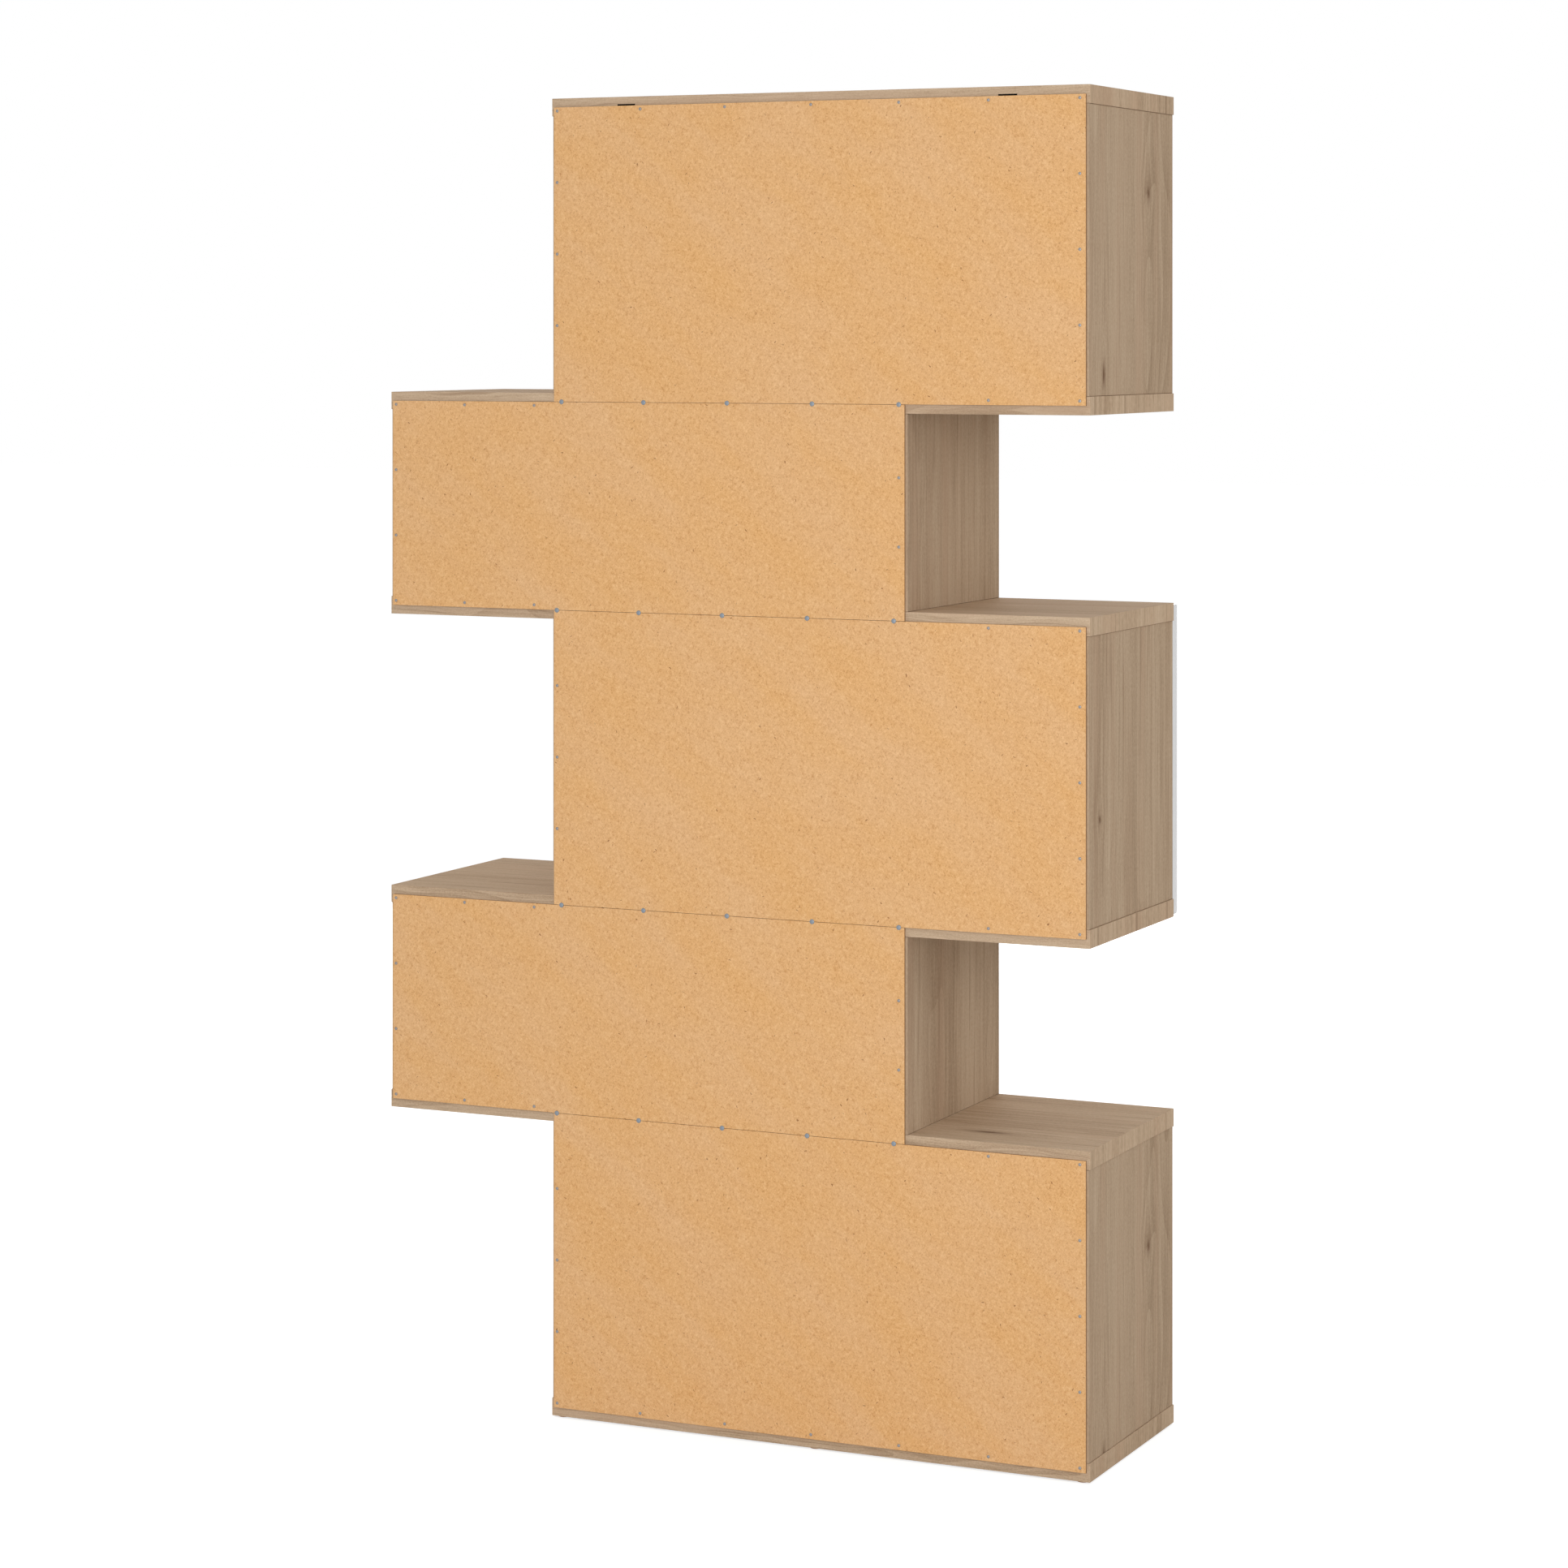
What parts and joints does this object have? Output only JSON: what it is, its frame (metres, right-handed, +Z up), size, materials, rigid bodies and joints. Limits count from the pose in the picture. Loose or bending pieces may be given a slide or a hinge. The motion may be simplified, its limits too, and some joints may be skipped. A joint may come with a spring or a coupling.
{
  "type": "zig-zag bookcase",
  "caption": "Free-standing zig-zag bookcase of stacked boxes set alternately to one side, with nailed fibreboard backs and a pair of push-to-open doors on the middle box.",
  "frame": {"origin": "on the floor, under the middle of the whole outline", "axes": "+Z up, +X to the right seen from the front, front towards -Y, backs towards +Y"},
  "size_m": [0.9384, 0.3136, 1.6308],
  "materials": {
    "oak_laminate": "matt taupe oak laminate",
    "fibreboard": "bare hard fibreboard",
    "white_lacquer": "white gloss lacquer",
    "bright_steel": "bright zinc-plated",
    "zinc": "die-cast zinc",
    "nickel": "nickel-plated",
    "beech": "fluted beech",
    "black_steel": "matt black",
    "brown_plastic": "moulded",
    "grey_plastic": "moulded",
    "clear_rubber": "clear soft"
  },
  "bodies": {
    "carcass": {"bottom_panel": "oak_laminate", "shelf_1": "oak_laminate", "shelf_2": "oak_laminate", "shelf_3": "oak_laminate", "shelf_4": "oak_laminate", "top_panel": "oak_laminate", "tier_1_left_side": "oak_laminate", "tier_1_right_side": "oak_laminate", "tier_2_left_side": "oak_laminate", "tier_2_right_side": "oak_laminate", "tier_3_left_side": "oak_laminate", "tier_3_right_side": "oak_laminate", "tier_4_left_side": "oak_laminate", "tier_4_right_side": "oak_laminate", "tier_5_left_side": "oak_laminate", "tier_5_right_side": "oak_laminate", "backboard_1": "fibreboard", "backboard_2": "fibreboard", "backboard_3": "fibreboard", "backboard_4": "fibreboard", "backboard_5": "fibreboard", "back_nails_1": "bright_steel", "back_nails_2": "bright_steel", "back_nails_3": "bright_steel", "back_nails_4": "bright_steel", "back_nails_5": "bright_steel", "seam_screws": "bright_steel", "cam_locks": "zinc", "cam_bolts": "bright_steel", "dowels": "beech", "wall_anchors": "black_steel", "floor_glides": "brown_plastic", "left_hinge_arms": "nickel", "left_arm_pins": "bright_steel", "left_arm_screws": "bright_steel", "left_hinge_plates": "nickel", "left_plate_screws": "bright_steel", "left_latch_housing": "grey_plastic", "left_latch_screws": "bright_steel", "right_hinge_arms": "nickel", "right_arm_pins": "bright_steel", "right_arm_screws": "bright_steel", "right_hinge_plates": "nickel", "right_plate_screws": "bright_steel", "right_latch_housing": "grey_plastic", "right_latch_screws": "bright_steel"},
    "left_links": {"left_hinge_links": "nickel"},
    "left_door": {"left_door": "white_lacquer", "left_door_bumpers": "clear_rubber", "left_hinge_cups": "nickel", "left_cup_pins": "bright_steel", "left_cup_screws": "bright_steel"},
    "left_plunger": {"left_latch_plunger": "grey_plastic"},
    "right_links": {"right_hinge_links": "nickel"},
    "right_door": {"right_door": "white_lacquer", "right_door_bumpers": "clear_rubber", "right_hinge_cups": "nickel", "right_cup_pins": "bright_steel", "right_cup_screws": "bright_steel"},
    "right_plunger": {"right_latch_plunger": "grey_plastic"}
  },
  "joints": [
    {"name": "left_link_swing", "type": "hinge", "parent": "carcass", "child": "left_links", "pos_m": [-0.43425, -0.142, 0.8163], "axis": [0, 0, 1], "range_deg": [0, 35.1]},
    {"name": "left_door_swing", "type": "hinge", "parent": "left_links", "child": "left_door", "pos_m": [-0.45725, -0.142, 0.8163], "axis": [0, 0, -1], "range_deg": [0, 130]},
    {"name": "right_link_swing", "type": "hinge", "parent": "carcass", "child": "right_links", "pos_m": [0.20475, -0.142, 0.8163], "axis": [0, 0, -1], "range_deg": [0, 35.1]},
    {"name": "right_door_swing", "type": "hinge", "parent": "right_links", "child": "right_door", "pos_m": [0.22775, -0.142, 0.8163], "axis": [0, 0, 1], "range_deg": [0, 130]},
    {"name": "left_plunger_push", "type": "slide", "parent": "carcass", "child": "left_plunger", "axis": [0, 1, 0], "range_m": [0, 0.003], "stiffness_N_per_m": 300},
    {"name": "right_plunger_push", "type": "slide", "parent": "carcass", "child": "right_plunger", "axis": [0, 1, 0], "range_m": [0, 0.003], "stiffness_N_per_m": 300}
  ],
  "couplings": [
    {"joint": "left_link_swing", "follows": "left_door_swing", "ratio": 0.26923},
    {"joint": "right_link_swing", "follows": "right_door_swing", "ratio": 0.26923}
  ]
}
